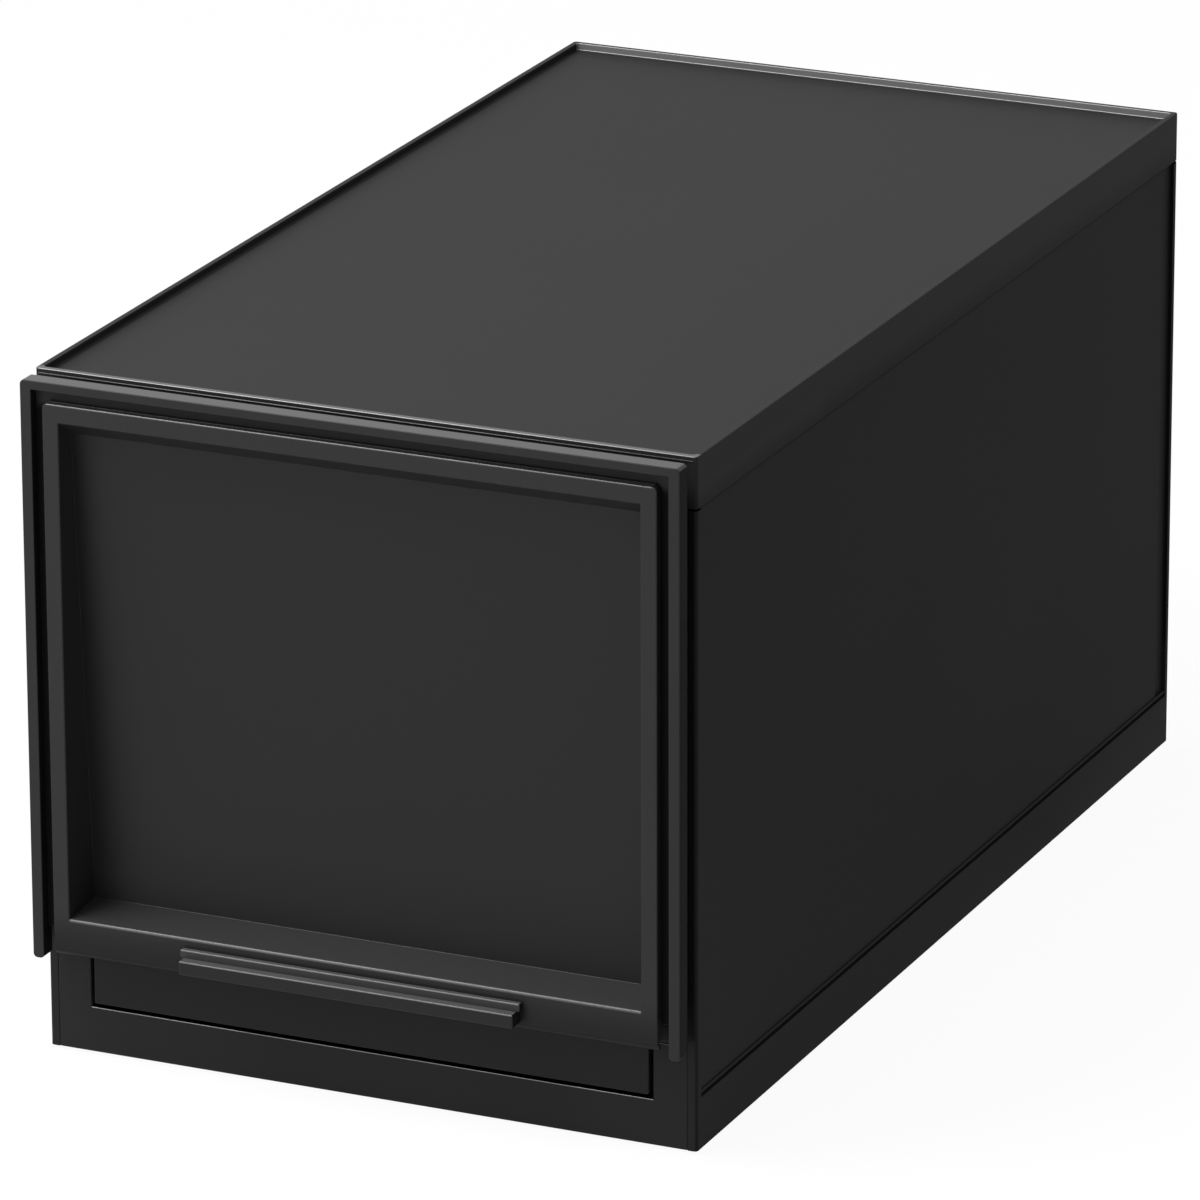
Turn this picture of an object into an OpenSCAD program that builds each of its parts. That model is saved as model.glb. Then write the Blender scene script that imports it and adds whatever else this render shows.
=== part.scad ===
// Stackable drawer box: a casing of moulded panels that slot together, round one sliding drawer.
// Right is +X, the front faces -Y and up is +Z. The origin is on the floor, under the middle of the
// whole box. Inside the modules, y = 0 is the casing's front face and z = 0 is its bottom rim.

/* [Casing] */
// Width over the side panels
casing_w = 250; // [230:1:320]
// Depth from the casing's front face to its back
casing_d = 455; // [430:1:520]
// Height from the bottom rim to the top of the lip
casing_h = 252; // [240:1:300]
// Radius of the casing's upright corners
corner_r = 1.3; // [1:0.1:3]
// Thickness of the side and back panels
panel_t = 3.6; // [3.3:0.1:4.2]

/* [Top cover] */
// Width of the stacking lip at the sides and back
lip_w = 2.2; // [1.8:0.1:3]
// Width of the stacking lip at the front
front_lip_w = 2.5; // [2:0.1:3.5]
// Height of the lip over the top face
lip_h = 2.7; // [2:0.1:4]
// Corner radius inside the lip
lip_corner_r = 1; // [0.5:0.1:2]
// Thickness of the top plate
cover_t = 2.5; // [2:0.1:3]
// Height of the skirt round the cover
skirt_h = 19; // [16:0.5:24]
// Thickness of the skirt
skirt_t = 1.8; // [1.6:0.1:2]
// Open seam between the skirt and the panels
seam_gap = 0.4; // [0.2:0.1:0.8]
// Thickness of the header over the drawer's mouth
header_t = 2.5; // [2:0.1:4]
// Depth of the header below the top plate
header_drop = 6.7; // [6:0.1:9]

/* [Panels] */
// Depth of the recessed field on a panel's outside
field_d = 0.8; // [0.4:0.1:1.2]
// Width of the raised strip at a panel's front edge
strip_w = 4; // [3:0.1:8]
// Width of the raised post at a side panel's back edge
post_w = 3.4; // [3:0.1:8]
// Width of the channel in front of the back post
channel_w = 8.6; // [5:0.1:14]
// Depth of that channel
channel_d = 1.5; // [1.2:0.1:1.6]
// Height of the raised band along the bottom
band_h = 19; // [17:0.5:30]
// Width of the groove over the band
band_groove_w = 1.3; // [0.8:0.1:2]
// Depth of the groove over the band
band_groove_d = 1.2; // [0.8:0.1:1.5]
// Height of the bead over the groove
bead_h = 1.1; // [0.8:0.1:2]
// How far that bead lies behind the band's face
bead_back = 0.3; // [0.1:0.1:0.4]
// How far the tongues of one panel reach into the next
tongue_d = 1.2; // [0.8:0.1:1.4]
// Thickness of the back panel's side tongues
back_tongue_t = 1.4; // [1:0.1:1.8]
// Radius of the snap beads on the panels' top tongues
snap_r = 0.6; // [0.4:0.05:0.7]
// Length of each snap bead
snap_len = 40; // [20:1:60]
// Depth of the ribs that stop the closing drawer
bumper_d = 4.1; // [2:0.1:8]
// Width of those ribs
bumper_w = 6; // [3:0.5:12]

/* [Base tray] */
// Height of the sill, level with the tray's floor
sill_h = 17; // [14:0.5:18]
// Height of the plinth's posts and of the runners
rail_h = 38.5; // [34:0.5:40]
// Width of the cut-out in the plinth
cutout_w = 217; // [200:1:218]
// Thickness of the plinth
plinth_t = 2.6; // [2:0.1:4]
// Thickness of the floor
floor_t = 2; // [1.6:0.1:3]
// Thickness of the tray's skirts and ribs
rib_t = 2; // [1.5:0.1:3]
// Clearance between the ribs' lower edge and the rim
rib_lift = 5; // [3:0.5:8]
// Thickness of a runner's walls
runner_t = 2; // [1.6:0.1:3]
// Length of a runner's tab
runner_tab = 14; // [8:1:24]

/* [Corner feet] */
// How far the feet stand below the rim
foot_proud = 1.2; // [0.8:0.1:2]
// Length of a foot's legs
foot_leg = 34; // [24:1:50]
// Width of a foot's sole
foot_w = 12; // [9:0.5:18]
// Thickness of the wall that plugs into the tray
foot_wall = 3; // [2:0.1:4]
// Play between a foot and the lip of the box below
foot_play = 0.5; // [0.3:0.1:1]

/* [Drawer tub] */
// Thickness of the tub's walls
tub_t = 2; // [1.6:0.1:3]
// Radius of the tub's upright corners
tub_r = 5; // [3:0.5:8]
// How far the tub's low front stands ahead of the plinth
tub_proud = 0.6; // [0:0.1:2]
// Room between the tub's rim and the header
rim_gap = 2; // [1:0.1:4]
// Height of the stop lugs over the tub's rim
lug_h = 7; // [5:0.1:8]
// Length of a stop lug
lug_len = 10; // [6:1:20]
// Travel of the drawer to its stop
travel = 360; // [250:5:380]

/* [Drawer front] */
// How far the drawer's front stands ahead of the casing
front_reach = 13.2; // [12:0.1:18]
// Shadow gap between the rim flange and the casing
shadow_gap = 6.6; // [3:0.1:7]
// Width of the rim flange's legs
flange_w = 4.2; // [3.5:0.1:5]
// Height of the bar that joins the legs
flange_bar_h = 3.4; // [3:0.1:5]
// How far the flange lies inside the casing's side face
flange_inset = 0.7; // [0.2:0.1:1]
// How far the flange's top lies below the lip's top
flange_drop = 0.3; // [0.1:0.1:3]
// Height of the flange's free ends over the rim
flange_foot = 38; // [30:0.1:38.5]
// Radius of the flange's top corners
flange_r = 1.8; // [1:0.1:3]
// Radius of the flange's free ends
flange_end_r = 1.6; // [1:0.1:1.7]
// Width of the groove between the flange and the frame
groove_w = 4.2; // [3.5:0.1:5]
// Depth of that groove
groove_d = 4.4; // [3:0.1:5]
// Thickness of the web plate behind the groove
web_t = 2; // [1.6:0.1:3]
// Height of the web plate's lower edge
web_foot = 49; // [47:0.1:49.5]
// Thickness of the bezel's hoop
hoop_t = 2; // [1.6:0.1:2.4]

/* [Front panel] */
// Width of the frame's sides
frame_side = 6.2; // [5:0.1:9]
// Width of the frame's top
frame_top = 6.5; // [5:0.1:9]
// Height of the frame's bottom bar
bar_h = 14.4; // [12:0.1:18]
// Thickness of the bottom bar
bar_t = 2.2; // [1.8:0.1:3]
// Height of the frame's lower edge over the rim
frame_foot = 40; // [38:0.1:40.4]
// Radius of the frame's outer corners
frame_r = 2; // [1:0.1:3]
// Radius of the bottom bar's turned-in edge
bar_roll = 3.4; // [3:0.1:4]
// Thickness of the recessed panel's walls
panel_wall = 2; // [1.5:0.1:2.5]
// Depth of the recess at its top
recess_top_d = 9.5; // [8:0.1:12]
// Depth of the recess at its bottom
recess_foot_d = 20; // [15:0.1:24]
// Fall of the recess's top wall towards the back
recess_fall = 6.3; // [4:0.1:8]
// Rise of the recess's bottom ledge towards the back
recess_rise = 1.5; // [1:0.1:4]
// Reach of the panel's snap lugs past the web
clip_reach = 0.8; // [0.5:0.1:1]
// Length of each snap lug
clip_len = 18; // [10:1:24]

/* [Pull handle] */
// Length of the handle's upper step
handle_w = 130.4; // [100:0.2:160]
// How much shorter the grip is at each end
handle_step = 1.1; // [0:0.1:3]
// Height of the grip over the frame's lower edge
handle_lift = 2.8; // [2.6:0.1:3.5]
// Height of the grip
grip_h = 5.1; // [5:0.1:8]
// Depth of the grip
grip_d = 6; // [5.6:0.1:9]
// Height of the upper step
step_h = 3; // [1.5:0.1:3.4]
// Depth of the upper step
step_d = 2.5; // [2:0.1:5]

/* [Screws] */
// Shank radius of the screws that hold the bezel
bezel_screw_r = 1.25; // [1:0.05:1.5]
// Shank length of the screws that hold the bezel
bezel_screw_len = 14; // [10:0.5:16]
// Shank radius of the screws that hold the handle
handle_screw_r = 1; // [0.8:0.05:1.25]
// Shank length of the screws that hold the handle
handle_screw_len = 6.4; // [5.5:0.1:7.4]
// Head radius over shank radius
head_ratio = 1.9; // [1.7:0.05:2]
// Head height over shank radius
head_rise = 1.3; // [1:0.1:1.5]
// Span of a head's cross recess over the head's radius
drive_span = 1.2; // [1:0.1:1.4]
// Width of the cross recess over the shank radius
drive_width = 0.4; // [0.3:0.1:0.5]

/* [Fits] */
// Play between the tub and the casing at each side
side_play = 1.5; // [0.8:0.1:2]
// Gap between the tub's shoulders and the runners, and at the stops
glide_gap = 0.3; // [0.2:0.05:0.5]
// Gap between the tub and the casing's floor
floor_gap = 1.5; // [1:0.1:3]
// Clearance of pieces that slot together
fit_gap = 0.15; // [0.1:0.01:0.2]
// Gap between the front panel's back and the tub
back_gap = 1.2; // [0.8:0.1:3]
// Gap between the front panel's ledge and the tub's shelf
shelf_gap = 0.8; // [0.6:0.1:1.5]

/* [Hidden] */
$fn = 48;
casing_tone = [0.15, 0.15, 0.155];
drawer_tone = [0.19, 0.19, 0.195];
screw_tone = [0.62, 0.62, 0.64];
cut = 1; // how far a cut runs past the face it opens

// Casing
half_w = casing_w / 2;
inner_half = half_w - panel_t;
back_in = casing_d - panel_t;
skirt_z = casing_h - skirt_h;
plate_top = casing_h - lip_h;
plate_under = plate_top - cover_t;
header_z = plate_under - header_drop;
skirt_in = half_w - skirt_t;
tongue_out = skirt_in - fit_gap;
back_tongue_out = casing_d - skirt_t - fit_gap;
tongue_front = header_t + fit_gap;
channel_back = casing_d - post_w;
field_z = band_h + band_groove_w + bead_h;
snap_z = skirt_z + (plate_under - skirt_z) / 2;
snap_places = [1 / 6, 1 / 2, 5 / 6];
bumper_x = inner_half / 2;
bumper_z0 = skirt_z / 4;
bumper_z1 = skirt_z * 3 / 4;

// Base tray and runners
floor_z = sill_h - floor_t;
rail_in = cutout_w / 2;
tab_places = [1 / 8, 3 / 8, 5 / 8, 7 / 8];
long_rib_x = inner_half / 3;
cross_ribs = [1 / 4, 1 / 2, 3 / 4];
tongue_end = 12; // length of the floor's edge without a tongue, at each end

// Corner feet
sole_out = half_w - lip_w - foot_play;
sole_front = front_lip_w + foot_play;
sole_back = casing_d - lip_w - foot_play;
plug_out = inner_half - rib_t;
plug_front = plinth_t;
plug_back = back_in - rib_t;

// Drawer tub
tub_half = inner_half - side_play;
low_half = rail_in - side_play;
tub_z = sill_h + floor_gap;
shoulder_z = rail_h + glide_gap;
tub_top = header_z - rim_gap;
tub_back = back_in - bumper_d - glide_gap;
tub_front = recess_foot_d - front_reach + panel_wall + back_gap;
lug_y = header_t + glide_gap + travel;

// Drawer front
face_y = -front_reach;
web_y = face_y + groove_d;
web_back = web_y + web_t;
flange_back = -shadow_gap;
flange_half = half_w - flange_inset;
flange_top = casing_h - flange_drop;
flange_in = flange_half - flange_w;
leg_split = (flange_foot + flange_top) / 2;
frame_half = flange_in - groove_w;
frame_z1 = flange_top - flange_bar_h - groove_w;
recess_half = frame_half - frame_side;
recess_z1 = frame_z1 - frame_top;
recess_z0 = frame_foot + bar_h;
wall_half = recess_half + panel_wall;
window_half = wall_half + fit_gap;
top_slope = recess_fall / recess_top_d;
foot_slope = recess_rise / recess_foot_d;
window_z1 = recess_top(panel_wall, groove_d) + fit_gap;
window_z0 = recess_foot(panel_wall, groove_d) - fit_gap;
shelf_z = recess_z0 - panel_wall - shelf_gap;
boss_r = 2 * bezel_screw_r;
boss_x = tub_half - hoop_t - boss_r + fit_gap;
boss_z0 = shelf_z + 4 * boss_r;
boss_z1 = tub_top - 4 * boss_r;
clip_y = web_back + fit_gap;
clip_run = 3;
clip_places = [1 / 4, 1 / 2, 3 / 4];

// Pull handle
grip_z = frame_foot + handle_lift;
step_z = grip_z + grip_h;
handle_screw_x = handle_w / 3;
handle_screw_z = frame_foot + bar_roll + head_ratio * handle_screw_r + fit_gap;
bar_back = face_y + bar_t;

// Whole box
front_most = face_y - grip_d;
mid_y = (front_most + casing_d) / 2;

// Lays the casing's frame on the floor under the box's middle
module in_place() { translate([0, -mid_y, foot_proud]) children(); }

// A box from its lowest to its highest corner
module block(a, b) { translate(a) cube(b - a); }

// A rectangle with round corners, from its lowest to its highest corner
module round_rect(a, b, r) {
    translate([a.x + r, a.y]) square([b.x - a.x - 2 * r, b.y - a.y]);
    translate([a.x, a.y + r]) square([b.x - a.x, b.y - a.y - 2 * r]);
    for (x = [a.x + r, b.x - r], y = [a.y + r, b.y - r]) translate([x, y]) circle(r);
}

// A plate over a plan, from z0 up to z1
module plan_plate(z0, z1) { translate([0, 0, z0]) linear_extrude(z1 - z0) children(); }

// A plate that stands facing the front, from y0 back to y1
module front_plate(y0, y1) {
    translate([0, y1, 0]) rotate([90, 0, 0]) linear_extrude(y1 - y0) children();
}

// A bar of one side outline, from x0 to x1
module side_bar(x0, x1) {
    translate([x0, 0, 0]) rotate([90, 0, 90]) linear_extrude(x1 - x0) children();
}

// A round rod along the depth
module depth_rod(x, y0, y1, z, r) { translate([x, y0, z]) rotate([-90, 0, 0]) cylinder(h = y1 - y0, r = r); }

// Its children on the right, and their mirror image on the left
module both_sides() {
    children();
    mirror([1, 0, 0]) children();
}

// The casing's outline in plan
module casing_plan() { round_rect([-half_w, 0], [half_w, casing_d], corner_r); }

// Snap beads of a side panel, or with a larger radius the grooves that take them
module side_snaps(r) {
    for (place = snap_places)
        depth_rod(tongue_out, casing_d * place - snap_len / 2, casing_d * place + snap_len / 2, snap_z, r);
}

// Top plate with its stacking lip, its skirt and the header over the mouth
module top_cover() {
    color(casing_tone) in_place() difference() {
        plan_plate(skirt_z + seam_gap, casing_h) casing_plan();
        plan_plate(plate_top, casing_h + cut)
            round_rect([lip_w - half_w, front_lip_w], [half_w - lip_w, casing_d - lip_w], lip_corner_r);
        block([-skirt_in, header_t, skirt_z - cut], [skirt_in, casing_d - skirt_t, plate_under]);
        block([-inner_half, -cut, skirt_z - cut], [inner_half, header_t + cut, header_z]);
        both_sides() side_snaps(snap_r + fit_gap);
    }
}

// What is cut from a panel's outside between x0 and x1, as seen from y < 0: field, bead and groove
module outside_cuts(x0, x1) {
    block([x0, -cut, field_z], [x1, field_d, skirt_z + cut]);
    block([x0, -cut, band_h], [x1, bead_back, field_z + cut]);
    block([x0, -cut, band_h], [x1, band_groove_d, band_h + band_groove_w]);
}

// Right side panel: raised strip, band and post round a recessed field
module side_panel() {
    difference() {
        intersection() {
            block([inner_half, 0, 0], [half_w, casing_d, skirt_z]);
            plan_plate(0, skirt_z) casing_plan();
        }
        translate([half_w, 0, 0]) rotate([0, 0, 90]) outside_cuts(strip_w, channel_back);
        translate([half_w, 0, 0]) rotate([0, 0, 90])
            block([channel_back - channel_w, -cut, field_z], [channel_back, channel_d, skirt_z + cut]);
        floor_slot();
        back_slot();
    }
    block([inner_half, tongue_front, skirt_z], [tongue_out, back_in - fit_gap, plate_under]);
    side_snaps(snap_r);
}

// Slot in a side panel for the tray's floor
module floor_slot() {
    block(
        [inner_half - cut, tongue_end - fit_gap, floor_z - fit_gap],
        [inner_half + tongue_d + fit_gap, back_in - tongue_end + fit_gap, sill_h + fit_gap]
    );
}

// Slot in a side panel for the back panel's tongue
module back_slot() {
    block(
        [inner_half - cut, back_in + (panel_t - back_tongue_t) / 2 - fit_gap, band_h - fit_gap],
        [inner_half + tongue_d + fit_gap, back_in + (panel_t + back_tongue_t) / 2 + fit_gap, skirt_z + cut]
    );
}

module left_side_panel() { color(casing_tone) in_place() mirror([1, 0, 0]) side_panel(); }

module right_side_panel() { color(casing_tone) in_place() side_panel(); }

// Back panel with the ribs that stop the drawer
module back_panel() {
    color(casing_tone) in_place() {
        difference() {
            block([-inner_half, back_in, 0], [inner_half, casing_d, skirt_z]);
            translate([0, casing_d, 0]) rotate([0, 0, 180])
                outside_cuts(strip_w - inner_half, inner_half - strip_w);
        }
        block([-inner_half, back_in, skirt_z], [inner_half, back_tongue_out, plate_under]);
        both_sides() {
            block(
                [inner_half, back_in + (panel_t - back_tongue_t) / 2, band_h],
                [inner_half + tongue_d, back_in + (panel_t + back_tongue_t) / 2, skirt_z]
            );
            translate([bumper_x, back_in, 0])
                block([-bumper_w / 2, -bumper_d, bumper_z0], [bumper_w / 2, 0, bumper_z1]);
        }
    }
}

// Tabs of the right runner, or with a margin the slots that take them
module runner_tabs(margin) {
    for (place = tab_places)
        block(
            [rail_in - margin, back_in * place - runner_tab / 2 - margin, floor_z - floor_t],
            [rail_in + runner_t + margin, back_in * place + runner_tab / 2 + margin, sill_h + margin]
        );
}

// Base tray: plinth with its cut-out, floor, skirts and ribs
module base_tray() {
    color(casing_tone) in_place() {
        difference() {
            union() {
                block([-inner_half, 0, 0], [inner_half, plinth_t, rail_h]);
                block([-inner_half, 0, floor_z], [inner_half, back_in, sill_h]);
                both_sides() block(
                    [inner_half, tongue_end, floor_z],
                    [inner_half + tongue_d, back_in - tongue_end, sill_h]
                );
            }
            block([-rail_in, -cut, sill_h], [rail_in, plinth_t + cut, rail_h + cut]);
            both_sides() runner_tabs(fit_gap);
        }
        block([-inner_half, plug_back, 0], [inner_half, back_in, floor_z]);
        both_sides() {
            block([plug_out, plinth_t, 0], [inner_half, back_in, floor_z]);
            block([long_rib_x - rib_t / 2, plinth_t, rib_lift], [long_rib_x + rib_t / 2, plug_back, floor_z]);
        }
        for (place = cross_ribs) translate([0, back_in * place, 0])
            block([-plug_out, -rib_t / 2, rib_lift], [plug_out, rib_t / 2, floor_z]);
    }
}

// Right runner: a hollow rail that carries the drawer's shoulder
module runner() {
    difference() {
        block([rail_in, plinth_t, sill_h], [inner_half, back_in, rail_h]);
        block(
            [rail_in + runner_t, plinth_t - cut, sill_h - cut],
            [inner_half - runner_t, back_in + cut, rail_h - runner_t]
        );
    }
    runner_tabs(0);
}

module left_runner() { color(casing_tone) in_place() mirror([1, 0, 0]) runner(); }

module right_runner() { color(casing_tone) in_place() runner(); }

// One corner foot at the right, with its corner at y_out and y_plug and its legs towards dir
module corner_foot(y_out, y_plug, dir) {
    plan_plate(-foot_proud, 0) {
        leg_plan(sole_out, y_out, foot_leg, foot_w, dir);
        leg_plan(sole_out, y_out, foot_w, foot_leg, dir);
    }
    plan_plate(0, floor_z) {
        leg_plan(plug_out, y_plug, foot_leg - foot_w, foot_wall, dir);
        leg_plan(plug_out, y_plug, foot_wall, foot_leg - foot_w, dir);
    }
}

// A rectangle that runs inwards from a corner by run_x, and by run_y towards dir
module leg_plan(x, y, run_x, run_y, dir) {
    translate([x - run_x, dir > 0 ? y : y - run_y]) square([run_x, run_y]);
}

// Four feet that plug into the tray and stand inside the lip of the box below
module corner_feet() {
    color(casing_tone) in_place() both_sides() {
        corner_foot(sole_front, plug_front, 1);
        corner_foot(sole_back, plug_back, -1);
    }
}

// The tub's outer plan between y0 and y1, or its inner plan with inset = wall
module tub_plan(half, y0, y1, inset) {
    round_rect([inset - half, y0 + inset], [half - inset, y1 - inset], tub_r - inset);
}

// Stepped tub: a narrow low part between the runners and a wide part over them
module drawer_tub() {
    color(drawer_tone) in_place() {
        difference() {
            union() {
                plan_plate(shoulder_z, tub_top) tub_plan(tub_half, tub_front, tub_back, 0);
                plan_plate(tub_z, shoulder_z + tub_t) tub_plan(low_half, -tub_proud, tub_back, 0);
                block([-tub_half, tub_front, shoulder_z], [tub_half, tub_front + tub_r, tub_top]);
                block([-tub_half, -tub_proud, shoulder_z], [tub_half, tub_front + tub_r, shelf_z]);
                block([-low_half, -tub_proud, tub_z], [low_half, tub_r, shoulder_z]);
            }
            plan_plate(shoulder_z + tub_t, tub_top + cut) tub_plan(tub_half, tub_front, tub_back, tub_t);
            plan_plate(tub_z + tub_t, shoulder_z + tub_t + cut)
                tub_plan(low_half, -tub_proud, tub_back, tub_t);
            block(
                [tub_t - tub_half, tub_t - tub_proud, shoulder_z + tub_t],
                [tub_half - tub_t, tub_front + tub_r + cut, shelf_z - tub_t]
            );
            at_bosses() {
                depth_rod(0, tub_front - cut, tub_front + tub_t + cut, 0, bezel_screw_r + fit_gap);
                depth_rod(0, tub_front + tub_t, tub_front + tub_r, 0, head_ratio * bezel_screw_r + fit_gap);
            }
        }
        both_sides()
            block([tub_half - tub_t, lug_y, tub_top - tub_t], [tub_half, lug_y + lug_len, tub_top + lug_h]);
    }
}

// Its children at each of the four bosses behind the bezel
module at_bosses() {
    for (x = [-boss_x, boss_x], z = [boss_z0, boss_z1]) translate([x, 0, z]) children();
}

// Its children at each of the two screws behind the handle
module at_handle_screws() {
    for (x = [-handle_screw_x, handle_screw_x]) translate([x, 0, handle_screw_z]) children();
}

// Outline of the rim flange: two legs with free round ends, under one round-cornered bar
module flange_outline() {
    difference() {
        round_rect([-flange_half, flange_foot], [flange_half, flange_top], flange_r);
        translate([-flange_half - cut, flange_foot - cut])
            square([2 * (flange_half + cut), leg_split - flange_foot + cut]);
        translate([-flange_in, leg_split - cut])
            square([2 * flange_in, flange_top - flange_bar_h - leg_split + cut]);
    }
    for (x = [-flange_half, flange_in])
        round_rect([x, flange_foot], [x + flange_w, leg_split + 2 * flange_end_r], flange_end_r);
}

// Bezel: rim flange, web plate with its window, and the hoop and bosses that meet the tub
module drawer_bezel() {
    color(drawer_tone) in_place() {
        front_plate(face_y, flange_back) flange_outline();
        front_plate(web_y, web_back) difference() {
            translate([-flange_in, web_foot]) square([2 * flange_in, flange_top - flange_bar_h - web_foot]);
            translate([-window_half, window_z0]) square([2 * window_half, window_z1 - window_z0]);
        }
        difference() {
            union() {
                front_plate(web_back, tub_front) difference() {
                    translate([-tub_half, shelf_z]) square([2 * tub_half, tub_top - shelf_z]);
                    translate([hoop_t - tub_half, shelf_z - cut])
                        square([2 * (tub_half - hoop_t), tub_top - hoop_t - shelf_z + cut]);
                }
                at_bosses() depth_rod(0, web_back, tub_front, 0, boss_r);
            }
            at_bosses() depth_rod(0, tub_front + tub_t - bezel_screw_len, tub_front + cut, 0, bezel_screw_r);
        }
    }
}

// Heights of the recess's top and bottom walls, grown by wall, at a depth behind the frame's face
function recess_top(wall, depth) = recess_z1 + wall - top_slope * depth;
function recess_foot(wall, depth) = recess_z0 - wall + foot_slope * depth;

// Side outline of the recess, grown by wall on every side but the front, which starts at a depth
module recess_outline(wall, front) {
    polygon([
        [face_y + front, recess_top(wall, front)],
        [face_y + recess_top_d + wall, recess_top(wall, recess_top_d + wall)],
        [face_y + recess_foot_d + wall, recess_foot(wall, recess_foot_d + wall)],
        [face_y + front, recess_foot(wall, front)]
    ]);
}

// Side outline of the bottom bar, with its lower edge rolled back
module bar_outline() {
    translate([face_y, frame_foot + bar_roll]) square([bar_t, bar_h - bar_roll]);
    translate([face_y + bar_roll, frame_foot + bar_roll]) difference() {
        circle(bar_roll);
        circle(bar_roll - bar_t);
        translate([0, -bar_roll - cut]) square(2 * (bar_roll + cut));
        translate([-bar_roll - cut, 0]) square(2 * (bar_roll + cut));
    }
}

// Wedge-shaped snap lug at the side of the recess, behind the web
module clip_wedge() {
    linear_extrude(clip_len)
        polygon([[-cut, 0], [fit_gap + clip_reach, 0], [0, clip_run], [-cut, clip_run]]);
}

// Front panel: frame with a tilted recessed panel, held in the bezel's window
module front_panel() {
    color(drawer_tone) in_place() {
        difference() {
            union() {
                front_plate(face_y, web_y) difference() {
                    round_rect([-frame_half, recess_z0 - panel_wall], [frame_half, frame_z1], frame_r);
                    translate([-frame_half, recess_z0 - panel_wall - cut])
                        square([2 * frame_half, frame_r + cut]);
                }
                side_bar(-wall_half, wall_half) recess_outline(panel_wall, 0);
                block([-frame_half, face_y, recess_z0 - panel_wall], [frame_half, web_y, recess_z0]);
                both_sides() for (place = clip_places)
                    translate([wall_half, clip_y, recess_z0 + (recess_z1 - recess_z0) * place - clip_len / 2])
                        clip_wedge();
            }
            side_bar(-recess_half, recess_half) recess_outline(0, -cut);
        }
        difference() {
            side_bar(-frame_half, frame_half) bar_outline();
            at_handle_screws() depth_rod(0, face_y - cut, bar_back + cut, 0, handle_screw_r + fit_gap);
        }
        both_sides()
            block([frame_half - bar_t, face_y, frame_foot + bar_roll], [frame_half, web_y, recess_z0]);
    }
}

// Pull handle: a grip under a shallower and slightly longer step
module pull_handle() {
    color(drawer_tone) in_place() difference() {
        union() {
            block([-handle_w / 2, face_y - step_d, step_z], [handle_w / 2, face_y, step_z + step_h]);
            block(
                [handle_step - handle_w / 2, face_y - grip_d, grip_z],
                [handle_w / 2 - handle_step, face_y, step_z]
            );
        }
        at_handle_screws() depth_rod(0, bar_back - handle_screw_len, face_y + cut, 0, handle_screw_r);
    }
}

// A pan-head screw with a cross recess: its shank runs to -Y from under the head, at the origin
module screw(r, len) {
    head_r = head_ratio * r;
    head_h = head_rise * r;
    slot = [drive_span * head_r, head_h, drive_width * r];
    depth_rod(0, -len, 0, 0, r);
    difference() {
        depth_rod(0, 0, head_h, 0, head_r);
        for (turn = [0, 90]) rotate([0, turn, 0])
            translate([-slot.x / 2, head_h / 2, -slot.z / 2]) cube(slot);
    }
}

module bezel_screws() {
    color(screw_tone) in_place() at_bosses()
        translate([0, tub_front + tub_t, 0]) screw(bezel_screw_r, bezel_screw_len);
}

module handle_screws() {
    color(screw_tone) in_place() at_handle_screws()
        translate([0, bar_back, 0]) screw(handle_screw_r, handle_screw_len);
}

top_cover();
left_side_panel();
right_side_panel();
back_panel();
base_tray();
left_runner();
right_runner();
corner_feet();
drawer_tub();
drawer_bezel();
front_panel();
pull_handle();
bezel_screws();
handle_screws();
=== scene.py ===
import math

import bmesh
import bpy
from mathutils import Matrix, Vector


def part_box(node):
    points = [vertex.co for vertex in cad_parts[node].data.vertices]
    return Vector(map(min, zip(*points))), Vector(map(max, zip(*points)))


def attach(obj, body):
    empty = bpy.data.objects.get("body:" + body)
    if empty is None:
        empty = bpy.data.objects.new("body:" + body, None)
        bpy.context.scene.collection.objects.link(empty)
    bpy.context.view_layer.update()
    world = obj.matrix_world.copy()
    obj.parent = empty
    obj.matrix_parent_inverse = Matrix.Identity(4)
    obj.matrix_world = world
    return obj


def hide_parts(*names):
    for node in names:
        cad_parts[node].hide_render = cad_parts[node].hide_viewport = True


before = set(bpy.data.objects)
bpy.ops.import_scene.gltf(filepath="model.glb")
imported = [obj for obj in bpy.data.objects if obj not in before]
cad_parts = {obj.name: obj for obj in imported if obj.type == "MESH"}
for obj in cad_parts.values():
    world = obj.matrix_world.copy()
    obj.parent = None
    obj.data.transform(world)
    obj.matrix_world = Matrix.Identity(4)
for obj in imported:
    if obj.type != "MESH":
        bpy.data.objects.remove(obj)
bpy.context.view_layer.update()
mm = 0.001
hair = 0.001 * mm  # closer points count as one
far = 1  # past the box on every side
print("stage: frame loaded,", len(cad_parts), "CAD nodes")


# selecting and editing, as by hand

def selectOnly(piece):
    if bpy.context.object and bpy.context.object.mode != "OBJECT":
        bpy.ops.object.mode_set(mode="OBJECT")
    bpy.ops.object.select_all(action="DESELECT")
    piece.select_set(True)
    bpy.context.view_layer.objects.active = piece


def applyModifier(piece, kind, **settings):
    selectOnly(piece)
    modifier = piece.modifiers.new(kind.title(), kind)
    for key, value in settings.items():
        setattr(modifier, key, value)
    bpy.ops.object.modifier_apply(modifier=modifier.name)


# places on the box: a range along each axis that is given, all of it along the others

def past(place):
    return place, far


def upTo(place):
    return -far, place


def within(x=(-far, far), y=(-far, far), z=(-far, far)):
    low, high = zip(x, y, z)
    return dict(low=low, high=high)


def inZone(point, zone):
    return all(low <= at <= high for low, at, high in zip(zone["low"], point, zone["high"]))


# shader sockets that take Python maths

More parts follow.
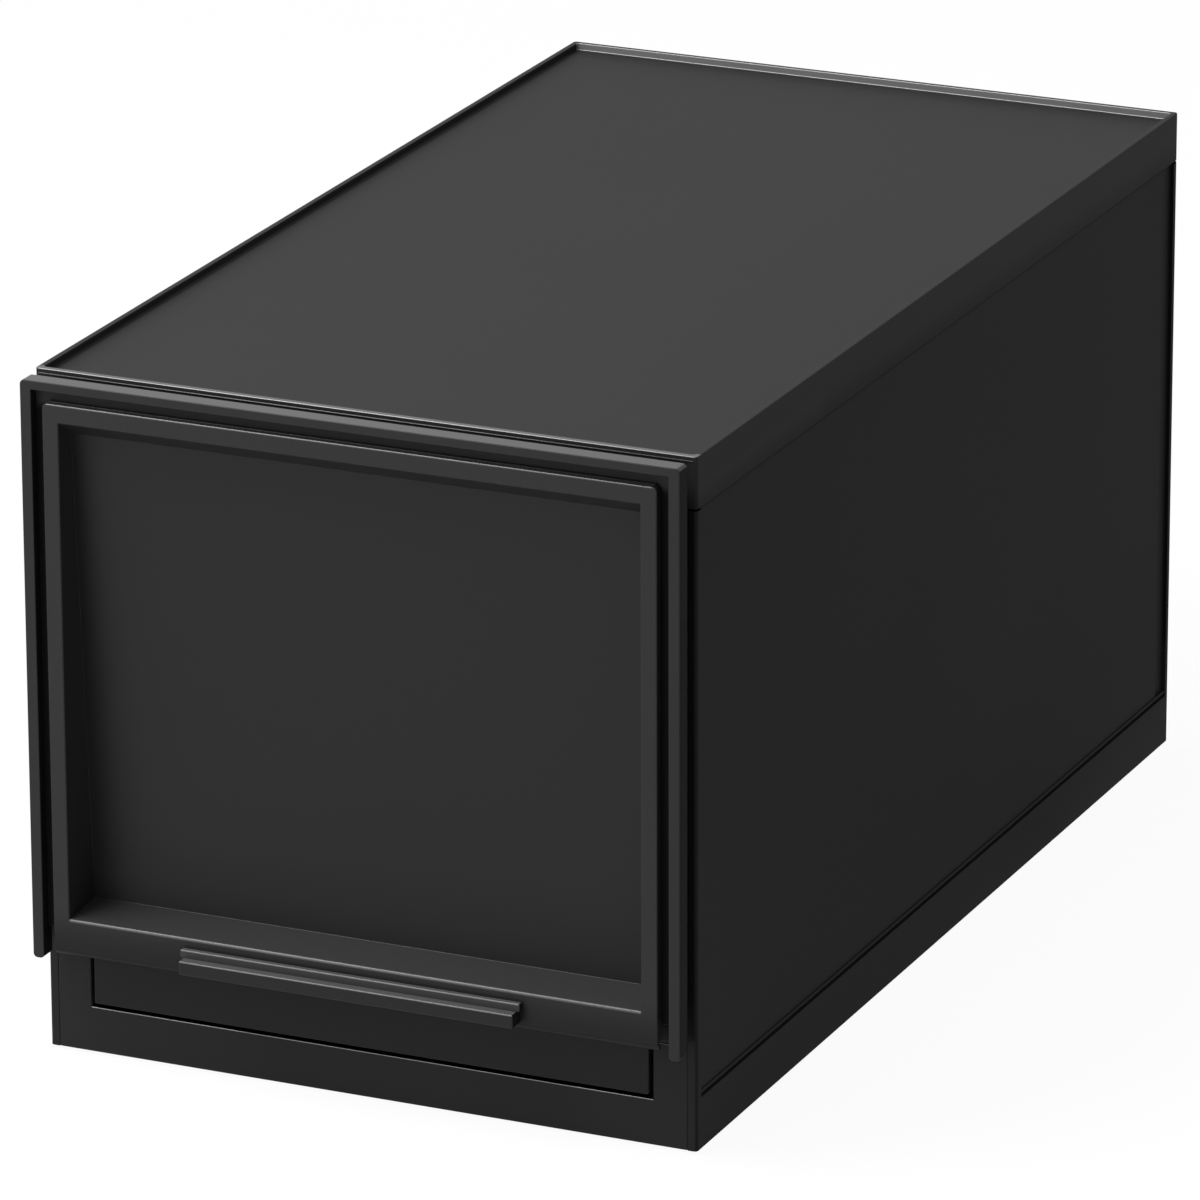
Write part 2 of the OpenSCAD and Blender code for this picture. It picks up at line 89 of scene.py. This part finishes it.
class Wire:
    def __init__(self, recipe, socket):
        self.recipe = recipe
        self.socket = socket

    def maths(self, operation, first, second):
        return self.recipe.node("Math", {"operation": operation}, {0: first, 1: second})

    def __add__(self, other):
        return self.maths("ADD", self, other)

    def __radd__(self, other):
        return self.maths("ADD", other, self)

    def __sub__(self, other):
        return self.maths("SUBTRACT", self, other)

    def __rsub__(self, other):
        return self.maths("SUBTRACT", other, self)

    def __mul__(self, other):
        return self.maths("MULTIPLY", self, other)

    def __rmul__(self, other):
        return self.maths("MULTIPLY", other, self)


class Recipe:
    def __init__(self, tree):
        self.tree = tree

    def node(self, kind, settings={}, sockets={}, output=0):
        made = self.tree.nodes.new("ShaderNode" + kind)
        for name, value in settings.items():
            setattr(made, name, value)
        for name, value in sockets.items():
            self.join(made.inputs[name], value)
        return Wire(self, made.outputs[output])

    def join(self, socket, value):
        if isinstance(value, Wire):
            self.tree.links.new(value.socket, socket)
        else:
            socket.default_value = value


def charcoal(tone):
    level = ((tone / 255 + 0.055) / 1.055) ** 2.4  # the tone is as a photograph shows it, 0 to 255
    return (level, level, level * 1.01, 1)


mould = dict(  # what all the plastics have in common
    cloudScale=9, cloudDetail=3, mottle=0.05,
    pitDetail=2, waveDetail=1, waveSize=4, waveShare=0.7,  # the waves' size is in pits
    depth=0.05 * mm,
)


def mouldedPlastic(name, tone, rough, gloss, grain, grainSize=0.35, cloudy=0.05, paintedShading=None, coat=0.0):
    material = bpy.data.materials.new(name)
    material.use_nodes = True
    recipe = Recipe(material.node_tree)
    shader = material.node_tree.nodes["Principled BSDF"]
    place = recipe.node("TexCoord", output="Object")

    def noise(scale, detail):
        return recipe.node("TexNoise", {}, {"Vector": place, "Scale": scale, "Detail": detail}, "Fac")

    def blend(factor, first, second):
        return recipe.node("Mix", {"data_type": "RGBA"}, {0: factor, 6: first, 7: second}, 2)

    cloud = noise(mould["cloudScale"], mould["cloudDetail"])
    pits = noise(1 / (grainSize * mm), mould["pitDetail"])
    waves = noise(1 / (grainSize * mm * mould["waveSize"]), mould["waveDetail"])
    colour = blend(cloud, charcoal(tone * (1 - mould["mottle"])), charcoal(tone * (1 + mould["mottle"])))
    if paintedShading:  # painted shade, and in some finishes painted light: another tone past a height
        height = recipe.node("SeparateXYZ", {}, {"Vector": place}, "Z")
        high = recipe.node(
            "MapRange", {"interpolation_type": "SMOOTHSTEP"},
            {"Value": height, "From Min": paintedShading["dark"], "From Max": paintedShading["clear"]}
        )
        colour = blend(high, charcoal(paintedShading["tone"]), colour)
    relief = pits + waves * mould["waveShare"]
    bump = recipe.node("Bump", {}, {"Strength": grain, "Distance": mould["depth"], "Height": relief})
    recipe.join(shader.inputs["Base Color"], colour)
    recipe.join(shader.inputs["Roughness"], rough + (cloud - 0.5) * cloudy)
    recipe.join(shader.inputs["Normal"], bump)
    recipe.join(shader.inputs["Specular IOR Level"], gloss)
    recipe.join(shader.inputs["Coat Weight"], coat)
    return material


coverLow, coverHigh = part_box("top_cover")
frameLow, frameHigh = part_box("front_panel")
bezelLow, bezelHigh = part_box("drawer_bezel")
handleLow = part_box("pull_handle")[0]
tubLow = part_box("drawer_tub")[0]
skirtFoot = coverLow[2]
frameFoot = frameLow[2]
frameTop = frameHigh[2]
flangeFoot = bezelLow[2]

finishes = {
    "coverGrain": dict(tone=30, rough=0.5, gloss=0.05, grain=0.35),
    # painted shade: the skirt darkens towards its foot, by the seam
    "skirtGrainPaintedShade": dict(
        tone=37, rough=0.6, gloss=0.03, grain=0.35,
        paintedShading=dict(dark=skirtFoot, clear=skirtFoot + 10 * mm, tone=27),
    ),
    "sideGrain": dict(tone=26, rough=0.6, gloss=0.03, grain=0.35),
    # painted shadow: a dark band along the top of the side field, under the skirt's edge
    "seamGrainPaintedShadow": dict(
        tone=26, rough=0.6, gloss=0.03, grain=0.35,
        paintedShading=dict(dark=skirtFoot - 0.9 * mm, clear=skirtFoot - 1.6 * mm, tone=16),
    ),
    "lipGloss": dict(tone=36, rough=0.22, gloss=0.7, grain=0.08, coat=0.5),
    # painted highlight: the back lip's pale tone stands in for the overhead lamp's sheen
    "backLipPaintedHighlight": dict(tone=98, rough=0.25, gloss=0.7, grain=0.08),
    "lipSatin": dict(tone=34, rough=0.3, gloss=0.45, grain=0.1),
    "edgeGloss": dict(tone=34, rough=0.26, gloss=0.45, grain=0.1),
    "plinthGrain": dict(tone=34, rough=0.5, gloss=0.06, grain=0.3, cloudy=0.12),
    # painted shadow: the casing's front strip is dark above the flange's foot, where the flange shades it
    "stripPaintedShadow": dict(
        tone=31, rough=0.5, gloss=0.06, grain=0.3,
        paintedShading=dict(dark=flangeFoot + 6 * mm, clear=flangeFoot, tone=15),
    ),
    # painted light: the recessed field is lighter towards the ledge, against the shade there
    "fieldGrainPaintedLight": dict(
        tone=18, rough=0.48, gloss=0.25, grain=0.35,
        paintedShading=dict(dark=frameFoot + 14 * mm, clear=frameFoot + 36 * mm, tone=31),
    ),
    # painted light: the ledge's up-facing faces are lighter than the frame's front
    "ledgePaintedLight": dict(tone=45, rough=0.45, gloss=0.3, grain=0.2),
    # painted highlight: a lighter tone on the ledge's front edge, on top of its real gloss
    "ledgeEdgeGlossPaintedHighlight": dict(tone=46, rough=0.36, gloss=0.42, grain=0.12),
    "drawerSatin": dict(tone=32, rough=0.33, gloss=0.18, grain=0.15),
    # painted shade: the frame darkens towards its bottom edge
    "frameSatinPaintedShade": dict(
        tone=35, rough=0.33, gloss=0.18, grain=0.15,
        paintedShading=dict(dark=frameFoot + 4 * mm, clear=frameFoot + 20 * mm, tone=18),
    ),
    # painted shade: the bar's down-facing roll is darker
    "rollPaintedShade": dict(tone=23, rough=0.5, gloss=0.1, grain=0.2),
    "flangeSatin": dict(tone=36, rough=0.33, gloss=0.4, grain=0.12),
    "flangeEdge": dict(tone=34, rough=0.45, gloss=0.15, grain=0.12),
    # painted shade: the flange's side faces are darker than its front
    "rimPaintedShade": dict(tone=20, rough=0.6, gloss=0.02, grain=0.2),
    # painted shade and light: the web behind the flange is near black in the grooves and lighter at the
    # top
    "webPaintedLightAndShade": dict(
        tone=42, rough=0.6, gloss=0.1, grain=0.2,
        paintedShading=dict(dark=frameTop - 4 * mm, clear=frameTop, tone=8),
    ),
    "handleSatin": dict(tone=17, rough=0.36, gloss=0.25, grain=0.15),
    # painted light: the handle's step face is lighter than the grip's front
    "stepPaintedLight": dict(tone=44, rough=0.36, gloss=0.25, grain=0.15),
    # painted light: the handle's top faces and top edges are lighter
    "gripTopPaintedLight": dict(tone=72, rough=0.36, gloss=0.4, grain=0.12),
    "seamShade": dict(tone=5, rough=0.8, gloss=0.0, grain=0.1),
    "tubSatin": dict(tone=28, rough=0.36, gloss=0.12, grain=0.12),
    # painted shade: the tub's front is near black above the frame's foot, where it lies in shade
    "tubFrontPaintedShade": dict(
        tone=24, rough=0.4, gloss=0.12, grain=0.12,
        paintedShading=dict(dark=frameFoot + 0.5 * mm, clear=frameFoot - 0.5 * mm, tone=4),
    ),
    "screwZinc": dict(tone=190, rough=0.3, gloss=0.5, grain=0.1, grainSize=0.2),
}
plastics = {}
for name, how in finishes.items():
    plastics[name] = mouldedPlastic(name, **how)
plastics["screwZinc"].node_tree.nodes["Principled BSDF"].inputs["Metallic"].default_value = 1
print("stage: finishes mixed")


# rounded skins over the CAD nodes

rounding = dict(
    sharp=math.radians(30),  # an edge that folds less stays as it is
    flat=math.radians(0.5),
    chain=math.radians(28),  # edges that turn less run on into each other, at one width
    shareOfRoom=0.45,
    shareOfArc=0.7,
    shareOfEdge=0.05,  # a neighbour beside less of an edge than this leaves it its room
    inside=0.12,  # radius of an inside corner, in mm
    segments=3,
)
grip = 0.9  # how alike a face's normal and the direction asked for are


def heading(loop):
    return (loop.link_loop_next.vert.co - loop.vert.co).normalized()


def roomBeside(edge):
    room = far
    length = edge.calc_length()
    for loop in edge.link_loops:
        along = heading(loop)
        normal = loop.face.normal
        inward = normal.cross(along)
        for other, side in ((loop.link_loop_next, 1), (loop.link_loop_prev, -1)):
            turn = math.atan2(side * along.cross(heading(other)).dot(normal), along.dot(heading(other)))
            if turn > rounding["chain"]:
                room = min(room, other.edge.calc_length() * abs(math.sin(turn)))
            elif turn > rounding["flat"]:
                arc = (other.edge.calc_length() + length) / 2 / turn
                room = min(room, arc * rounding["shareOfArc"] / rounding["shareOfRoom"])
        for other in loop.face.loops:
            if other in (loop, loop.link_loop_next, loop.link_loop_prev):
                continue
            ends = [vert.co - loop.vert.co for vert in other.edge.verts]
            reach = sorted(end.dot(along) for end in ends)
            depths = [end.dot(inward) for end in ends]
            shared = min(reach[1], length) - max(reach[0], 0)
            if shared > length * rounding["shareOfEdge"] and max(depths) > hair:
                room = min(room, min(abs(depth) for depth in depths))
    return room * rounding["shareOfRoom"]


def turnAt(vert, edge, other):
    ahead = edge.other_vert(vert).co - vert.co
    behind = vert.co - other.other_vert(vert).co
    return ahead.angle(behind)


def evenChains(widths):
    queue = sorted(widths, key=lambda edge: (widths[edge], edge.index))
    for edge in queue:  # the narrowest place of a chain sets its width
        for vert in edge.verts:
            for other in vert.link_edges:
                wider = other != edge and widths.get(other, 0) > widths[edge] + hair
                if wider and turnAt(vert, edge, other) < rounding["chain"]:
                    widths[other] = widths[edge]
                    queue.append(other)


def flatEdges(faces):
    edges = {edge.index: edge for face in faces for edge in face.edges}
    return [
        edges[index] for index in sorted(edges)
        if len(edges[index].link_faces) == 2 and edges[index].calc_face_angle() < rounding["flat"]
    ]


def flatRegion(face):
    region = {face}
    fresh = [face]
    for one in fresh:
        for edge in flatEdges([one]):
            fresh += [other for other in edge.link_faces if other not in region]
            region |= set(edge.link_faces)
    return region


def outlinesOf(region):
    edges = {edge for face in region for edge in face.edges}
    rim = {edge for edge in edges if not all(face in region for face in edge.link_faces)}
    outlines = []
    while rim:
        loop = [rim.pop()]
        for edge in loop:
            joined = [other for vert in edge.verts for other in vert.link_edges if other in rim]
            rim -= set(joined)
            loop += joined
        points = [vert.co for edge in loop for vert in edge.verts]
        low = Vector([min(axis) for axis in zip(*points)])
        high = Vector([max(axis) for axis in zip(*points)])
        outlines.append(dict(middle=(low + high) / 2, span=high - low))
    return sorted(outlines, key=lambda outline: (-outline["span"].length, *outline["middle"]))


def cutAcross(mesh, faces, point, normal):
    around = {one for face in faces for one in (face, *face.edges, *face.verts)}
    return bmesh.ops.bisect_plane(mesh, geom=list(around), dist=hair / 10, plane_co=point, plane_no=normal)


def openRings(mesh):
    mesh.edges.index_update()
    keptPlanes = []
    regions = []
    grouped = set()
    for face in list(mesh.faces):
        if face not in grouped and flatEdges([face]):
            regions.append(flatRegion(face))
            grouped |= regions[-1]
    for region in regions:
        outer, *holes = outlinesOf(region)  # a flat face with holes is cut across each of them
        longest = max(range(3), key=lambda axis: outer["span"][axis])
        across = Vector([float(axis == longest) for axis in range(3)])
        for place in sorted({round(hole["middle"][longest] / mm, 1) * mm for hole in holes}):
            cut = cutAcross(mesh, region, across * place, across)
            region |= {part for part in cut["geom"] if isinstance(part, bmesh.types.BMFace)}
            region = {face for face in region if face.is_valid}
            keptPlanes.append((across, place))
        mesh.edges.index_update()
        slits = []
        for edge in flatEdges(region):
            kept = any(
                all(abs(vert.co.dot(side) - place) < hair for vert in edge.verts)
                for side, place in keptPlanes
            )
            if not kept:
                slits.append(edge)
        bmesh.ops.dissolve_edges(mesh, edges=slits, use_verts=False)


def weighEdges(piece, radius, zones, cuts):
    widest = max([radius] + [zone["radius"] for zone in zones]) * mm
    mesh = bmesh.new()
    mesh.from_mesh(piece.data)
    openRings(mesh)
    for cut in cuts:  # a face that has two finishes is cut where they meet
        level = [face for face in mesh.faces if face.normal.z > grip]
        faces = [face for face in level if inZone(face.calc_center_median(), cut)]
        cutAcross(mesh, faces, (0, cut["place"], 0), (0, 1, 0))
    mesh.edges.index_update()
    weights = mesh.edges.layers.float.new("bevel_weight_edge")
    widths = {}
    for edge in mesh.edges:
        if len(edge.link_faces) != 2 or edge.calc_face_angle() < rounding["sharp"]:
            continue
        middle = (edge.verts[0].co + edge.verts[1].co) / 2
        wanted = radius if edge.is_convex else rounding["inside"]
        for zone in zones:
            if inZone(middle, zone):
                wanted = zone["radius"] if edge.is_convex else zone.get("inside", rounding["inside"])
        edge.smooth = wanted > 0  # an edge that stays sharp
        if wanted > 0:
            widths[edge] = min(wanted * mm, roomBeside(edge))
    evenChains(widths)
    for edge, width in widths.items():
        edge[weights] = width / widest
    mesh.to_mesh(piece.data)
    mesh.free()
    return widest


def paintFaces(piece, patches):
    for patch in patches:
        piece.data.materials.append(plastics[patch["finish"]])
        for face in piece.data.polygons:
            facing = patch.get("facing", face.normal)
            if inZone(face.center, patch) and face.normal.dot(Vector(facing)) > patch.get("grip", grip):
                face.material_index = len(piece.data.materials) - 1


def roundedSkin(node, body, slot, finish, radius, zones=(), patches=(), cuts=()):
    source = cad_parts[node]
    piece = bpy.data.objects.new(node + "_skin", source.data.copy())
    bpy.context.scene.collection.objects.link(piece)
    selectOnly(piece)
    bpy.ops.mesh.customdata_custom_splitnormals_clear()  # the bevel sets its own
    bpy.ops.object.mode_set(mode="EDIT")
    bpy.ops.mesh.select_all(action="SELECT")
    bpy.ops.mesh.remove_doubles(threshold=hair)
    bpy.ops.mesh.dissolve_limited(angle_limit=rounding["flat"])
    bpy.ops.object.mode_set(mode="OBJECT")
    piece.data.materials.clear()
    piece.data.materials.append(plastics[finish])
    widest = weighEdges(piece, radius, list(zones), list(cuts))
    bpy.ops.object.shade_smooth()
    applyModifier(piece, "BEVEL", width=widest, segments=rounding["segments"], limit_method="WEIGHT",
                  use_clamp_overlap=False, miter_outer="MITER_ARC", harden_normals=True)
    paintFaces(piece, patches)
    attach(piece, body)
    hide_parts(node)
    return piece


lipTop = coverHigh[2]
lipFoot = lipTop - 3 * mm
lipPaint = lipFoot + 0.31 * mm  # where the cover's own finishes start
plateCeiling = lipTop - 2.5 * mm
backLip = coverHigh[1] - 4 * mm
sideFace = coverHigh[0] - mm
frameFace = frameLow[1]
flangeTop = bezelHigh[2] - 12 * mm
ledgeCeiling = frameFoot + 30 * mm
slant = math.sqrt(0.5)
forward = (0, -1, 0)
upward = (0, 0, 1)
forwardUp = (0, -slant, slant)
forwardDown = (0, -slant, -slant)
frontLip = within(y=upTo(coverLow[1] + 2.9 * mm), z=past(lipPaint))
behindSeam = within(z=past(skirtFoot - 1.05 * mm))
seamEdge = dict(radius=0.6, **within(z=(skirtFoot - 0.6 * mm, skirtFoot)))
sidePatches = [
    # the side fields carry a painted shadow under the skirt
    dict(finish="seamGrainPaintedShadow", facing=(1, 0, 0), **within(x=(sideFace - 0.5 * mm, sideFace + 0.5 * mm))),
    dict(finish="seamGrainPaintedShadow", facing=(-1, 0, 0), **within(x=(-sideFace - 0.5 * mm, -sideFace + 0.5 * mm))),
    dict(finish="seamShade", **behindSeam),
    # painted shadow on the casing's front strips
    dict(finish="stripPaintedShadow", facing=forward, **within(z=upTo(skirtFoot - 2 * mm))),
]
skins = {
    "top_cover": dict(
        # the skirt's finish carries painted shade towards its foot
        body="casing", slot="casing_plastic", finish="skirtGrainPaintedShade", radius=0.25,
        zones=[
            dict(radius=0.35, inside=0.6, **within(z=past(lipFoot))),
            dict(radius=0.3, inside=0.6, **within(x=past(coverHigh[0] - 5 * mm), z=past(lipFoot))),
            dict(radius=1.2, inside=1.2, **within(y=past(backLip), z=past(lipFoot))),
            dict(radius=0.35, inside=0.35, **within(y=upTo(coverLow[1] + 4 * mm), z=past(lipFoot))),
            dict(radius=0.65, **within(y=upTo(coverLow[1] + mm), z=past(lipFoot))),
            dict(radius=0.12, **within(z=upTo(skirtFoot + mm))),
        ],
        cuts=[dict(place=coverLow[1] + 3.5 * mm, **within(z=past(lipTop - 0.1 * mm)))],
        patches=[
            dict(finish="coverGrain", **within(z=past(lipPaint))),
            dict(finish="lipSatin", facing=upward, **frontLip),
            dict(finish="lipGloss", facing=forwardUp, grip=0.8, **frontLip),
            dict(finish="lipGloss", facing=(0, slant, slant), grip=0.8, **frontLip),
            # painted highlight on the back lip
            dict(finish="backLipPaintedHighlight", **within(y=past(backLip), z=past(lipPaint))),
            dict(finish="coverGrain", facing=upward, **within(z=(lipFoot, plateCeiling))),
        ],
    ),
    "left_side_panel": dict(
        body="casing", slot="casing_plastic", finish="sideGrain", radius=0.2,
        zones=[seamEdge], patches=sidePatches,
    ),
    "right_side_panel": dict(
        body="casing", slot="casing_plastic", finish="sideGrain", radius=0.2,
        zones=[seamEdge], patches=sidePatches,
    ),
    "back_panel": dict(
        body="casing", slot="casing_plastic", finish="sideGrain", radius=0.2,
        zones=[seamEdge], patches=[dict(finish="seamShade", **behindSeam)],
    ),
    "base_tray": dict(
        body="casing", slot="casing_plastic", finish="plinthGrain", radius=0.4,
        patches=[
            dict(finish="lipGloss", facing=forwardUp, grip=0.85, **within()),
            dict(finish="seamShade", facing=upward, **within()),
        ],
    ),
    "left_runner": dict(body="casing", slot="runner_plastic", finish="tubSatin", radius=0.4),
    "right_runner": dict(body="casing", slot="runner_plastic", finish="tubSatin", radius=0.4),
    "corner_feet": dict(body="casing", slot="runner_plastic", finish="tubSatin", radius=0.3),
    "drawer_tub": dict(
        body="drawer", slot="tub_plastic", finish="tubSatin", radius=0.6,
        # painted shade on the tub's front
        patches=[dict(finish="tubFrontPaintedShade", facing=forward, **within(y=upTo(tubLow[1] + 18.5 * mm)))],
    ),
    "drawer_bezel": dict(
        body="drawer", slot="drawer_plastic", finish="drawerSatin", radius=0.55,
        zones=[dict(radius=0.4, **within(x=past(bezelHigh[0] - 2.3 * mm), z=upTo(frameTop - 0.3 * mm)))],
        patches=[
            # painted shade and light on the web behind the flange
            dict(finish="webPaintedLightAndShade", facing=forward, **within(y=past(frameFace + 3 * mm))),
            # painted shade on the flange's side faces
            dict(finish="rimPaintedShade", facing=(1, 0, 0), **within()),
            dict(finish="rimPaintedShade", facing=(-1, 0, 0), **within()),
            dict(finish="flangeSatin", facing=upward, **within(z=past(flangeTop))),
            dict(finish="flangeEdge", facing=forwardUp, grip=0.8, **within(z=past(flangeTop))),
        ],
    ),
    "front_panel": dict(
        body="drawer", slot="drawer_plastic", finish="drawerSatin", radius=0.6,
        zones=[
            dict(radius=1, **within(  # the ledge's front edge
                x=(frameLow[0] + 6 * mm, frameHigh[0] - 6 * mm),
                y=(frameFace - 2 * mm, frameFace + 2 * mm),
                z=(frameFoot + 13 * mm, frameFoot + 16 * mm),
            )),
        ],
        patches=[
            # painted shade towards the frame's bottom
            dict(finish="frameSatinPaintedShade", facing=forward, **within(y=upTo(frameFace + 2 * mm))),
            # painted light on the recessed field
            dict(finish="fieldGrainPaintedLight", facing=forward, **within(y=past(frameFace + 6 * mm))),
            # painted light on the ledge's up-facing faces
            dict(finish="ledgePaintedLight", facing=upward, **within(z=upTo(ledgeCeiling))),
            dict(finish="edgeGloss", facing=forwardUp, grip=0.85, **within()),
            # painted highlight on the ledge's front edge
            dict(finish="ledgeEdgeGlossPaintedHighlight", facing=forwardUp, grip=0.85, **within(z=upTo(ledgeCeiling))),
            # painted shade on the bar's down-facing roll
            dict(finish="rollPaintedShade", facing=forwardDown, grip=0.8, **within(z=upTo(frameFoot + 6 * mm))),
        ],
    ),
    "pull_handle": dict(
        body="drawer", slot="drawer_plastic", finish="handleSatin", radius=0.5,
        zones=[dict(radius=0.5, inside=0, **within())],
        patches=[
            # painted light on the handle's step face
            dict(finish="stepPaintedLight", facing=forward, **within(y=past(handleLow[1] + 2 * mm))),
            # painted light on the handle's top faces and edges
            dict(finish="gripTopPaintedLight", facing=upward, **within()),
            dict(finish="gripTopPaintedLight", facing=forwardUp, grip=0.8, **within()),
        ],
    ),
    "bezel_screws": dict(body="drawer", slot="screw_steel", finish="screwZinc", radius=0.15),
    "handle_screws": dict(body="drawer", slot="screw_steel", finish="screwZinc", radius=0.12),
}

for node, how in skins.items():
    roundedSkin(node, **how)
print("stage: skins rounded")


# thin trims, each from a box

trimEdges = dict(segments=3, profile=0.5, smooth=math.radians(50))


def trimStrip(name, body, slot, low, high, radius, finish):
    middle = [(a + b) / 2 for a, b in zip(low, high)]
    bpy.ops.object.select_all(action="DESELECT")
    bpy.ops.mesh.primitive_cube_add(size=1, location=middle, scale=[b - a for a, b in zip(low, high)])
    piece = bpy.context.object
    piece.name = name
    bpy.ops.object.transform_apply(location=True, rotation=True, scale=True)
    for edge in piece.data.edges:
        ends = [piece.data.vertices[index].co for index in edge.vertices]
        edge.select = all(end.y < middle[1] for end in ends)  # the front's four edges
    bpy.ops.object.mode_set(mode="EDIT")
    bpy.ops.mesh.select_mode(type="EDGE")
    bpy.ops.mesh.bevel(offset=radius, segments=trimEdges["segments"], profile=trimEdges["profile"])
    bpy.ops.object.mode_set(mode="OBJECT")
    bpy.ops.object.shade_smooth_by_angle(angle=trimEdges["smooth"])
    piece.data.materials.append(plastics[finish])
    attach(piece, body)


trims = {
    "lip_ledge": dict(  # the line under the front lip
        body="casing", slot="casing_plastic", finish="lipSatin", radius=0.25 * mm,
        low=(coverLow[0] + 1.2 * mm, coverLow[1] - 0.4 * mm, lipTop - 1.9 * mm),
        high=(coverHigh[0] - 1.2 * mm, coverLow[1] + 0.3 * mm, lipTop - 1.4 * mm),
    ),
    "frame_rim": dict(  # the line behind the frame's top edge
        body="drawer", slot="drawer_plastic", finish="drawerSatin", radius=0.15 * mm,
        low=(frameLow[0] + 1.6 * mm, frameFace + 2.2 * mm, frameTop - 0.5 * mm),
        high=(frameHigh[0] - 1.6 * mm, frameFace + 4.3 * mm, frameTop + 0.3 * mm),
    ),
}
for name, how in trims.items():
    trimStrip(name, **how)
print("stage: trims added")


# camera, floor and lamps

cameraAim = dict(azimuth=24.155, elevation=19.080, roll=-0.188, lens=281.45, sensor=36, reach=60,
                 place=(1.3199, -2.9624, 1.2380))
bpy.ops.object.camera_add(location=cameraAim["place"])
camera = bpy.context.object
camera.matrix_world = (
    Matrix.Translation(cameraAim["place"])
    @ Matrix.Rotation(math.radians(cameraAim["azimuth"]), 4, "Z")
    @ Matrix.Rotation(math.radians(90 - cameraAim["elevation"]), 4, "X")
    @ Matrix.Rotation(math.radians(cameraAim["roll"]), 4, "Z")
)
camera.data.lens = cameraAim["lens"]
camera.data.sensor_width = cameraAim["sensor"]
camera.data.clip_end = cameraAim["reach"]
bpy.context.scene.camera = camera


def seenDirectly(recipe):  # 1 where the camera looks, also in a mirror or through glass
    seen = recipe.node("LightPath", output="Is Camera Ray")
    for kind in ("Is Glossy Ray", "Is Transmission Ray"):
        seen = seen.maths("MAXIMUM", seen, recipe.node("LightPath", output=kind))
    return seen


white = (1, 1, 1, 1)
floorLook = dict(size=14, paper=(0.9, 0.9, 0.9, 1), glow=1, whiteShare=0.94)
bpy.ops.mesh.primitive_plane_add(size=floorLook["size"], location=(0, 0, 0))
floor = bpy.context.object
floor.name = "floor"
floorPaper = bpy.data.materials.new("floorPaper")
floorPaper.use_nodes = True
floorRecipe = Recipe(floorPaper.node_tree)
floorPaper.node_tree.nodes.remove(floorPaper.node_tree.nodes["Principled BSDF"])
paper = floorRecipe.node("BsdfDiffuse", {}, {"Color": floorLook["paper"]})
glow = floorRecipe.node("Emission", {}, {"Color": white, "Strength": floorLook["glow"]})
share = seenDirectly(floorRecipe) * floorLook["whiteShare"]
lit = floorRecipe.node("MixShader", {}, {0: share, 1: paper, 2: glow})
floorRecipe.join(floorPaper.node_tree.nodes["Material Output"].inputs["Surface"], lit)
floor.data.materials.append(floorPaper)

lampTarget = Vector((0, 0, 0.1))
lamps = {
    "keyPanel": dict(place=(-0.62, -0.66, 1.32), size=0.75, power=22),
    "topPanel": dict(place=(-0.55, 0.15, 1.7), size=1.1, power=15),
    "frontPanel": dict(place=(-0.75, -1.4, 0.75), size=0.9, power=7),
}
for name, how in lamps.items():
    bpy.ops.object.light_add(type="AREA", location=how["place"])
    lamp = bpy.context.object
    lamp.name = name
    lamp.data.energy = how["power"]
    lamp.data.size = how["size"]
    lamp.rotation_euler = (lampTarget - lamp.location).to_track_quat("-Z", "Y").to_euler()

worldLight = dict(shade=0.45, seen=1.0)
world = bpy.data.worlds.new("studio")
bpy.context.scene.world = world
world.use_nodes = True
worldRecipe = Recipe(world.node_tree)
strength = seenDirectly(worldRecipe) * (worldLight["seen"] - worldLight["shade"]) + worldLight["shade"]
worldRecipe.join(world.node_tree.nodes["Background"].inputs["Color"], white)
worldRecipe.join(world.node_tree.nodes["Background"].inputs["Strength"], strength)

bpy.context.scene.view_settings.view_transform = "Standard"
print("stage: camera and lamps placed")
